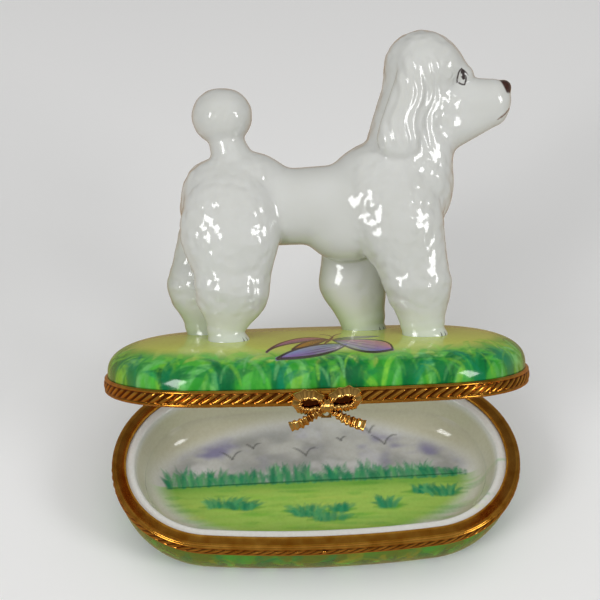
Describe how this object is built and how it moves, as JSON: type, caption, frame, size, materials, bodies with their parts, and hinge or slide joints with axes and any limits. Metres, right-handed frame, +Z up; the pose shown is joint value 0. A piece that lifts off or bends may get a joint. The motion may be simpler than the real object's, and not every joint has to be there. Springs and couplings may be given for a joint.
{
  "type": "figurine trinket box",
  "caption": "Hinged oval porcelain trinket box with a standing poodle on its lid, gilt brass rims and a bow clasp; it stands with the lid open on its hinge stop.",
  "frame": {"origin": "centre of the box's flat foot, on the surface it stands on", "axes": "+Z up, +X along the box towards the dog's nose, +Y from the clasp side towards the hinge side"},
  "size_m": [0.082, 0.073, 0.0817],
  "materials": {
    "white_porcelain": "gloss",
    "painted_porcelain": "gloss",
    "gilt_brass": "polished"
  },
  "bodies": {
    "base": {"base_bowl": "painted_porcelain", "base_rim_band": "gilt_brass", "base_rim_gallery": "gilt_brass", "base_hinge_leaf": "gilt_brass", "base_knuckle_left": "gilt_brass", "base_knuckle_centre": "gilt_brass", "base_knuckle_right": "gilt_brass", "hinge_pin": "gilt_brass", "catch_stud": "gilt_brass"},
    "lid": {"lid_shell": "painted_porcelain", "lid_rim_band": "gilt_brass", "lid_rim_gallery": "gilt_brass", "lid_knuckle_left": "gilt_brass", "lid_knuckle_right": "gilt_brass", "clasp_bearing_left": "gilt_brass", "clasp_bearing_right": "gilt_brass", "clasp_pin": "gilt_brass", "poodle_body": "white_porcelain", "poodle_head": "white_porcelain", "poodle_ear_right": "white_porcelain", "poodle_ear_left": "white_porcelain", "poodle_foreleg_right": "white_porcelain", "poodle_foreleg_left": "white_porcelain", "poodle_hindleg_right": "white_porcelain", "poodle_hindleg_left": "white_porcelain", "poodle_tail": "white_porcelain"},
    "clasp": {"clasp_tongue": "gilt_brass", "clasp_bow": "gilt_brass"}
  },
  "joints": [
    {"name": "lid_hinge", "type": "hinge", "parent": "base", "child": "lid", "pos_m": [0, 0.0238, 0.014], "axis": [-1, 0, 0], "range_deg": [-40.5, 0]},
    {"name": "clasp_hinge", "type": "hinge", "parent": "lid", "child": "clasp", "pos_m": [0, -0.00976, 0.04608], "axis": [-1, 0, 0], "range_deg": [0, 70]}
  ]
}
